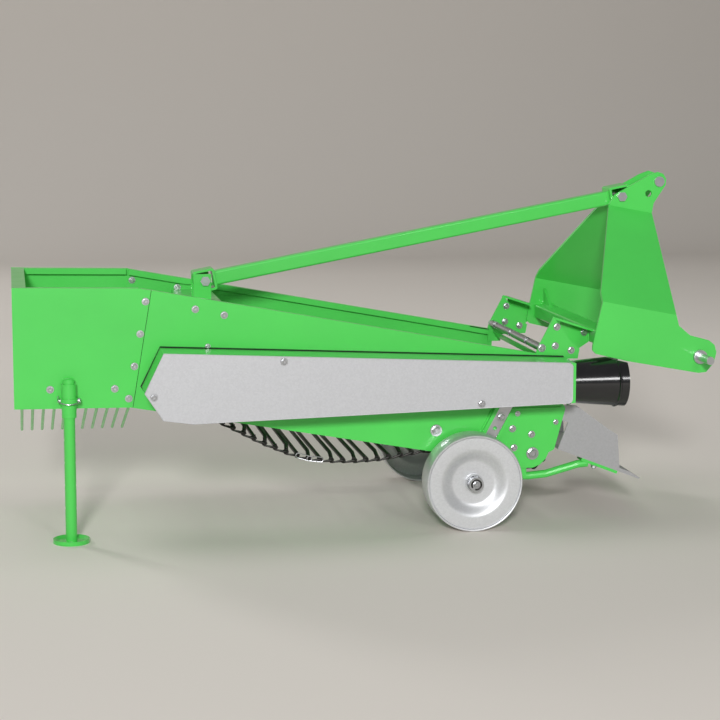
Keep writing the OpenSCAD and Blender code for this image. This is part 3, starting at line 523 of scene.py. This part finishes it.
def bead(bm, points, radius=BEAD_R):
    """Weld bead along a line of points."""
    path = []
    for a, b in zip(points, points[1:]):
        a, b = Vector(a), Vector(b)
        count = max(int((b - a).length / RIPPLE_STEP), 1)
        path += [a.lerp(b, i / count) for i in range(count)]
    path.append(Vector(points[-1]))
    tube(bm, path, [radius * RIPPLE[i % len(RIPPLE)] for i in range(len(path))], 6)


def make_welds():
    leg_x = (low("leg_sleeve", "x") + high("leg_sleeve", "x")) / 2
    bm = bmesh.new()
    for x in (leg_x - SLEEVE_WELD_X, leg_x + SLEEVE_WELD_X):
        bead(bm, [(x, -PANEL_Y, z) for z in SLEEVE_WELD_Z])
    add_piece("sleeve_welds", bm, "green_paint")

    bm = bmesh.new()
    for side in BOTH:
        y = side * HEAD_IN
        lower = [(BEAM_REAR, y, BEAM_LOW), (BEAM_FRONT, y, BEAM_LOW)]
        upper = [(BEAM_FRONT, y, BEAM_TOP), (BEAM_REAR, y, BEAM_TOP)]
        bead(bm, loop(lower + upper), BEAM_BEAD_R)
        mid = (BEAM_REAR + BEAM_FRONT) / 2
        for x in (mid - GUSSET_HALF, mid + GUSSET_HALF):
            inner_y = y - side * GUSSET_LEN
            corner = [(x, y, BEAM_TOP + GUSSET_H), (x, y, BEAM_TOP), (x, inner_y, BEAM_TOP)]
            bead(bm, corner, GUSSET_BEAD_R)
    add_piece("head_beam_welds", bm, "green_paint")

    bm = bmesh.new()
    lug_x0, lug_x1 = low("strut_lugs", "x"), high("strut_lugs", "x")
    lug_z = low("strut_lugs", "z")
    lug_y = high("strut_lugs", "y")
    for side in BOTH:
        for y in (lug_y, lug_y - LUG_T):
            bead(bm, [(lug_x0, side * y, lug_z), (lug_x1, side * y, lug_z)])
    add_piece("lug_welds", bm, "green_paint")

    bm = bmesh.new()
    weld_z = (BEAM_LOW + BRACKET_WELD_SHORT, BEAM_TOP - BRACKET_WELD_SHORT)
    for y in (RIGHT_WEB, RIGHT_WEB + BRACKET_T):
        bead(bm, [(BEAM_REAR, y, z) for z in weld_z])
    add_piece("bracket_welds", bm, "green_paint")


# Strut welds run round the tube where it meets the two square eyes
STRUT_BOLTS = ((-421.0, 654.0), (763.0, 876.0))
STRUT_HALF = 20.0
EYE_HALF = 30.0
WELD_REACH = STRUT_HALF * 0.94


def make_strut_welds():
    a, b = (Vector((x, 0.0, z)) for x, z in STRUT_BOLTS)
    along = (b - a).normalized()
    side = Vector((0.0, 1.0, 0.0))
    up = along.cross(-side)
    bm = bmesh.new()
    for end, sign in ((a, 1.0), (b, -1.0)):
        centre = end + along * EYE_HALF * sign
        corners = [(-1, -1), (1, -1), (1, 1), (-1, 1)]
        ring = [centre + (side * s + up * t) * WELD_REACH for s, t in corners]
        bead(bm, loop(ring), STRUT_BEAD_R)
    add_piece("strut_welds", bm, "green_paint")


# Trim: black strip along the guard's edge on the wall, a painted shadow of the gap between guard and wall;
# thin black line at the panel seams, a painted shadow of the step; and turned edge of the cover
GUARD_SHADOW_R, SEAM_SHADOW_R, TURNED_R = 3.4, 1.0, 1.3
GUARD_SHADOW_OUT, SEAM_SHADOW_FORWARD, TURNED_IN = 2.0, 0.6, 0.8
SEAM_PATH = [(-587, 657), (-639, 349)]
GUARD_PATH = [(-568, 333), (-615, 404), (-566, 506), (530, 456)]
COVER_PATH = GUARD_PATH[:3] + [(513, 457), (521, 448), (521, 357), (513, 349), (-490, 322)]


def make_guard_trim():
    bm = bmesh.new()
    # black tube that stands in for the shadow in the gap along the guard's edge, as thick as that shadow
    # line
    tube(bm, [(x, -SHEET_Y - GUARD_SHADOW_OUT, z) for x, z in GUARD_PATH], GUARD_SHADOW_R, 8)
    add_piece("guard_shadow_strip", bm, "black_shield")
    # thin black line in the corner of each panel's step: painted shadow of the step's edge
    bm = bmesh.new()
    for side in BOTH:
        tube(bm, [(x + SEAM_SHADOW_FORWARD, side * SHEET_Y, z) for x, z in SEAM_PATH], SEAM_SHADOW_R, 6)
    add_piece("seam_shadow_line", bm, "black_shield")
    bm = bmesh.new()
    tube(bm, [(x, -COVER_Y + TURNED_IN, z) for x, z in loop(COVER_PATH)], TURNED_R, 8)
    add_piece("cover_hem", bm, "guard_sheet")


# Support leg: locking pin with its wire bow, and the plug in the tube's top
PIN_Z = 376.0
PIN_HEAD = [(0, 0), (4.5, 0), (4.5, 3), (7.5, 4), (7.5, 9), (6.0, 11), (0, 11.5)]
PIN_TIP = [(0, 0), (4.5, 0), (4.5, 9), (3.0, 11), (0, 11.5)]
PIN_SUNK = 3
BOW_WIRE = 1.4
LEG_PLUG = [(0, -6), (11.8, -6), (11.8, 0), (15.0, 0), (15.0, 2.5), (12.5, 5.0), (7.0, 6.5), (0, 7.0)]


def make_leg_details():
    x0 = (low("support_leg", "x") + high("support_leg", "x")) / 2
    y0 = (low("support_leg", "y") + high("support_leg", "y")) / 2
    reach = high("leg_sleeve", "x") - x0
    bm = bmesh.new()
    lathe(bm, PIN_HEAD, (x0 + reach - PIN_SUNK, y0, PIN_Z), (1, 0, 0), 16)
    lathe(bm, PIN_TIP, (x0 - reach + PIN_SUNK, y0, PIN_Z), (-1, 0, 0), 16)
    bow = [
        (x0 + reach + 5, y0, PIN_Z), (x0 + reach + 6, y0 - 12, PIN_Z - 2),
        (x0 + reach - 4, y0 - reach - 2, PIN_Z - 4), (x0, y0 - reach - 9, PIN_Z - 6),
        (x0 - reach + 4, y0 - reach - 3, PIN_Z - 3), (x0 - reach - 6, y0 - 14, PIN_Z + 1),
        (x0 - reach - 7, y0 - 2, PIN_Z + 6), (x0 - reach - 5, y0 + 4, PIN_Z + 12)
    ]
    tube(bm, smooth_path(bow), BOW_WIRE, 8)
    add_piece("leg_lock_pin", bm, "zinc_steel")
    bm = bmesh.new()
    lathe(bm, LEG_PLUG, (x0, y0, high("support_leg", "z")), (0, 0, 1), 24)
    add_piece("leg_plug", bm, "green_paint", "support_leg")


# Linch pin of the top link pin, with its sprung ring: radius, wire, open arc in degrees and place
TOP_PIN_X, TOP_PIN_Z = 872.0, 918.0
LINCH_PIN = [(0, -16), (2.6, -14), (3.2, -12), (3.2, 17), (5.0, 18), (5.0, 24), (0, 25)]
LINCH_IN = 9
LINCH_RING_R, LINCH_WIRE, LINCH_ARC = 17.0, 1.5, (-75.0, 255.0)
LINCH_RING_UP, LINCH_RING_FRONT, LINCH_NARROW = 4.0, 1.0, 0.9


def make_linch_pin():
    y = high("top_link_pin", "y") - LINCH_IN
    bm = bmesh.new()
    lathe(bm, LINCH_PIN, (TOP_PIN_X, y, TOP_PIN_Z), (0, 0, 1), 12)
    ring = []
    for t in sweep(*LINCH_ARC, 28):
        ring_y = y + LINCH_RING_R * math.sin(t) * LINCH_NARROW
        ring_z = TOP_PIN_Z + LINCH_RING_UP + LINCH_RING_R * math.cos(t)
        ring.append((TOP_PIN_X + LINCH_RING_FRONT, ring_y, ring_z))
    tube(bm, ring, LINCH_WIRE, 8)
    add_piece("linch_pin", bm, "zinc_steel")


# Wheels: smooth pressed dish, flat ring and rolled rim with a bead in the tread
WHEEL_X, WHEEL_Z = 265.0, 131.7
WHEEL_R, WHEEL_W = 131.7, 74.0
WHEEL_T = 4.0
HUB_R, HUB_IN, BORE_R = 24.0, 10.0, 13.0
DISH_DEPTH = 20.0
DISH_R0, DISH_R1 = 0.42, 0.72
DISH_STEPS = 16
RING_IN = 4.0


def dish_curve(offset):
    """Pressed dish from its floor to the flat ring, pushed inwards by an offset."""
    points = []
    for i in range(DISH_STEPS + 1):
        t = i / DISH_STEPS
        ease = t * t * (3.0 - 2.0 * t)
        radius = WHEEL_R * (DISH_R0 + (DISH_R1 - DISH_R0) * t)
        points.append((radius, DISH_DEPTH + (RING_IN - DISH_DEPTH) * ease + offset))
    return points


def wheel_profile():
    r, w = WHEEL_R, WHEEL_W
    rim = [(r * 0.936, RING_IN), (r * 0.941, RING_IN + 2.4), (r * 0.950, RING_IN + 2.4), (r * 0.955, 1.2),
           (r * 0.966, 0.2), (r * 0.980, 0.2), (r * 0.992, 1.4), (r, 4.0), (r, 8.0), (r - 0.8, 10.0),
           (r - 2.2, 12.0), (r - 2.2, 14.0), (r - 0.8, 16.0), (r, 18.0), (r, w - 4.0), (r * 0.992, w - 1.4),
           (r * 0.975, w), (r * 0.958, w - 2.0)]
    back = [(r - 6.0, w - 8.0), (r - 6.0, RING_IN + WHEEL_T)]
    hub = [(HUB_R, DISH_DEPTH + WHEEL_T), (HUB_R, w), (BORE_R, w), (BORE_R, HUB_IN), (HUB_R - 1.5, HUB_IN),
           (HUB_R, HUB_IN + 1.5), (HUB_R, DISH_DEPTH)]
    return dish_curve(0.0) + rim + back + dish_curve(WHEEL_T)[::-1] + hub


def make_wheels():
    for side, node in ((RIGHT, "right_wheel"), (LEFT, "left_wheel")):
        bm = bmesh.new()
        face_y = side * high("left_wheel", "y")
        lathe(bm, wheel_profile(), (WHEEL_X, face_y, WHEEL_Z), (0, -side, 0), 96, True)
        wheel = add_piece(node + "_pressed", bm, "wheel_zinc", node)
        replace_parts(wheel, node)


# Axle ends: washer, split spring ring with its arc in degrees, and retaining bolt. The ring's dark steel
# colour is painted shade of the dark groove inside the washer
AXLE_WASHER = [(8.0, -1.0), (20.0, -1.0), (20.0, 1.6), (19.0, 2.4), (8.0, 2.4)]
RING_R, RING_WIRE, RING_ARC = 13.0, 2.4, (255.0, 575.0)
AXLE_BOLT = 9.0


def make_axle_ends():
    washers, rings = bmesh.new(), bmesh.new()
    for side in BOTH:
        face_y = side * high("left_axle", "y")
        lathe(washers, AXLE_WASHER, (WHEEL_X, face_y, WHEEL_Z), (0, side, 0), 32, True)
        hex_head(washers, (WHEEL_X, face_y, WHEEL_Z), (0, side, 0), AXLE_BOLT)
        path = []
        for t in sweep(*RING_ARC, 24):
            x = WHEEL_X + RING_R * math.cos(t)
            z = WHEEL_Z + RING_R * math.sin(t)
            path.append((x, face_y + side * RING_WIRE, z))
        tube(rings, path, RING_WIRE, 8)
    add_piece("axle_washers", washers, "zinc_steel")
    # dark steel ring: painted shade of the groove inside the washer
    add_piece("axle_spring_rings", rings, "dark_steel")


# Web: every second rod is cranked inwards, and each end hooks round the next rod
DRUM, DRUM_R, DRUM_TURN = (-520.0, 415.0), 66.0, (247.0, 75.8)
FRONT, FRONT_R, FRONT_TURN = (446.0, 192.0), 43.0, (75.8, -101.0)
SAG = [(150, 207), (81, 195), (25, 187), (-45, 184), (-112, 187), (-166, 193), (-220, 210), (-296, 243),
       (-355, 275), (-403, 300)]
ROD_R, ROD_Y = 5.5, 258.0
ROD_PITCH = 32.0
CRANK_AT, CRANK_RUN, CRANK = 14.0, 36.0, 12.0
# Hook: start as a share of the half rod, bend as (along, out), last point before the next rod, arc round it
HOOK_R, HOOK_TAPER = 2.7, (0.9, 0.8)
HOOK_START, HOOK_BEND, HOOK_NEAR = 0.985, (4.0, 1.5), (9.0, 0.8)
HOOK_WRAP, HOOK_ARC, HOOK_IN = ROD_R + HOOK_R * 0.7, (100.0, -80.0), 5.0
# Joint link on the lower run
LINK_X, LINK_R, LINK_WIRE = -136.0, 6.5, 1.5
LINK_Y = -ROD_Y - 4.0
LOWER_RUN_Z = 300.0


def turn_points(centre, radius, arc):
    """Points of the web's path round a drum or roller."""
    x, z = centre
    return [Vector((x + radius * math.cos(t), 0.0, z + radius * math.sin(t))) for t in sweep(*arc, 12)]


def web_stations():
    """Places of the rods, evenly spaced round the closed path of the web."""
    path = turn_points(DRUM, DRUM_R, DRUM_TURN) + turn_points(FRONT, FRONT_R, FRONT_TURN)
    path += [Vector((x, 0.0, z)) for x, z in SAG]
    path.append(path[0])
    runs = [0.0]
    for a, b in zip(path, path[1:]):
        runs.append(runs[-1] + (b - a).length)
    count = 2 * round(runs[-1] / ROD_PITCH / 2)
    stations = []
    leg = 0
    for i in range(count):
        run = runs[-1] * i / count
        while runs[leg + 1] < run:
            leg += 1
        share = (run - runs[leg]) / (runs[leg + 1] - runs[leg])
        stations.append(path[leg].lerp(path[leg + 1], share))
    return stations


def outward(here, there):
    """Direction along the web and the one that points out of its loop."""
    along = (there - here).normalized()
    return along, Vector((-along.z, 0.0, along.x))


def rod(bm, here, out, cranked):
    """One rod across the web, straight or stepped inwards between its ends."""
    depth = CRANK if cranked else 0.0
    bends = [(ROD_Y, 0.0), (ROD_Y - CRANK_AT, 0.0), (ROD_Y - CRANK_AT - CRANK_RUN, depth)]
    path = []
    for side in BOTH:
        path += [here + Vector((0.0, side * y, 0.0)) - out * d for y, d in bends[::-side]]
    tube(bm, path, ROD_R, 8)


def hook(bm, here, there, side):
    """End of one rod, bent to the next rod and half way round it on its outer side."""
    along, out = outward(here, there)
    end = Vector((0.0, side * ROD_Y, 0.0))
    seat = Vector((0.0, side * (ROD_Y - HOOK_IN), 0.0))
    path = [
        here + end * HOOK_START,
        here + along * HOOK_BEND[0] + out * HOOK_BEND[1] + end,
        there - along * HOOK_NEAR[0] + out * HOOK_WRAP * HOOK_NEAR[1] + seat,
    ]
    for t in sweep(*HOOK_ARC, 5):
        path.append(there + (along * math.cos(t) + out * math.sin(t)) * HOOK_WRAP + seat)
    thick = [ROD_R * share for share in HOOK_TAPER]
    tube(bm, path, thick + [HOOK_R] * (len(path) - len(thick)), 6)


def oval(a, b, radius, y):
    """Closed loop round two rods."""
    along, out = outward(a, b)
    path = []
    for centre, first in ((b, 90.0), (a, -90.0)):
        for t in sweep(first, first - 180.0, 6):
            path.append(centre + (along * math.cos(t) + out * math.sin(t)) * radius + Vector((0.0, y, 0.0)))
    return loop(path)


def make_web():
    stations = web_stations()
    count = len(stations)
    bm = bmesh.new()
    for i, here in enumerate(stations):
        there = stations[(i + 1) % count]
        _, out = outward(stations[i - 1], there)
        rod(bm, here, out, i % 2 == 1)
        for side in BOTH:
            hook(bm, here, there, side)
    web = add_piece("hooked_web", bm, "dark_steel", sharp=60.0)
    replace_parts(web, "web_conveyor")

    lower = [i for i in range(count) if stations[i].z < LOWER_RUN_Z]
    first = min(lower, key=lambda i: abs(stations[i].x - LINK_X))
    bm = bmesh.new()
    for i in (first, first + 1):
        tube(bm, oval(stations[i], stations[i + 1], LINK_R, LINK_Y), LINK_WIRE, 6)
    add_piece("web_joint_link", bm, "zinc_steel")


# Stage in metres: floor and a wall that is far enough back to stand behind the camera in the other views
STAGE_HALF = 14.0
WALL_Y = 9.2
WALL_H = 9.0
WALL_HALF = 24.0
COVE_R = 1.6
PALE = (0.86, 0.81, 0.75)
# Share of the pale colour at each distance: painted shade that evens out the lamps' light, darker where a
# lamp stands close to the floor
FLOOR_BANDS = [
    (-STAGE_HALF, 0.26), (-9.8, 0.26), (-4.7, 1.0), (0.5, 1.0),
    (2.0, 0.92), (4.0, 0.84), (6.5, 0.86), (WALL_Y, 0.68)
]


def stage_material():
    """Pale floor that turns into a darker plain wall."""
    mat, tree, shader = new_material("pale_floor")
    coords = tree.nodes.new("ShaderNodeTexCoord")
    axes = tree.nodes.new("ShaderNodeSeparateXYZ")
    tree.links.new(coords.outputs["Object"], axes.inputs["Vector"])
    depth = tree.nodes.new("ShaderNodeMapRange")
    depth.inputs["From Min"].default_value = -STAGE_HALF
    depth.inputs["From Max"].default_value = WALL_Y
    tree.links.new(axes.outputs["Y"], depth.inputs["Value"])
    depth_m = WALL_Y + STAGE_HALF
    # bands of painted shade that even out how brightly the lamps light the floor
    stops = [((y + STAGE_HALF) / depth_m, tint(PALE, share)) for y, share in FLOOR_BANDS]
    colours = ramp(tree, depth.outputs["Result"], stops)
    shader.inputs["Specular IOR Level"].default_value = 0.1
    tree.links.new(colours, shader.inputs["Base Color"])
    cloud = noise(tree, 0.6, 4.0, 0.5)
    tree.links.new(span(tree, cloud, 0.72, 0.88), shader.inputs["Roughness"])
    return mat


def make_stage():
    profile = [(-STAGE_HALF, 0.0)]
    for t in sweep(0.0, 90.0, 12):
        profile.append((WALL_Y - COVE_R * (1 - math.sin(t)), COVE_R * (1 - math.cos(t))))
    profile.append((WALL_Y, WALL_H))
    bm = bmesh.new()
    rows = [[bm.verts.new((x, y, z)) for y, z in profile] for x in (-WALL_HALF, WALL_HALF)]
    for i in range(len(profile) - 1):
        bm.faces.new((rows[0][i], rows[1][i], rows[1][i + 1], rows[0][i + 1]))
    mesh = bpy.data.meshes.new("floor")
    bm.to_mesh(mesh)
    bm.free()
    mesh.shade_smooth()
    mesh.materials.append(stage_material())
    floor = bpy.data.objects.new("floor", mesh)
    bpy.context.scene.collection.objects.link(floor)


# Lamps: name, place, point that it faces, width in metres, watts
SKY = 0.17
LAMPS = [
    ("key", (-2.8, -12.9, 4.8), (0.0, 0.0, 0.4), 1.8, 1140.0),
    ("fill", (1.65, -7.85, 2.9), (0.0, 0.0, 0.4), 1.3, 70.0),
    ("top", (-0.8, 0.6, 4.6), (0.0, 0.0, 0.3), 3.0, 30.0),
    ("back", (-5.5, 6.5, 4.0), (0.0, 0.0, 0.4), 1.8, 190.0),
    ("wall", (1.5, 2.6, 4.4), (1.5, WALL_Y, 0.8), 4.0, 62.0),
]


def area_light(name, place, target, size, power):
    data = bpy.data.lights.new(name, "AREA")
    data.shape = "DISK"
    data.size = size
    data.energy = power
    lamp = bpy.data.objects.new(name, data)
    aim = Vector(target) - Vector(place)
    lamp.matrix_world = Matrix.Translation(place) @ aim.to_track_quat("-Z", "Y").to_matrix().to_4x4()
    bpy.context.scene.collection.objects.link(lamp)


def make_light():
    world = bpy.data.worlds.new("studio")
    world.use_nodes = True
    sky = world.node_tree.nodes["Background"]
    sky.inputs["Color"].default_value = (1.0, 1.0, 1.0, 1.0)
    sky.inputs["Strength"].default_value = SKY
    bpy.context.scene.world = world
    for lamp in LAMPS:
        area_light(*lamp)


make_camera()
dress_nodes()
make_bolts()
make_front_bolts()
make_head_fittings()
make_welds()
make_strut_welds()
make_guard_trim()
make_leg_details()
make_linch_pin()
make_wheels()
make_axle_ends()
make_web()
make_stage()
make_light()
bpy.context.scene.view_settings.view_transform = "Standard"
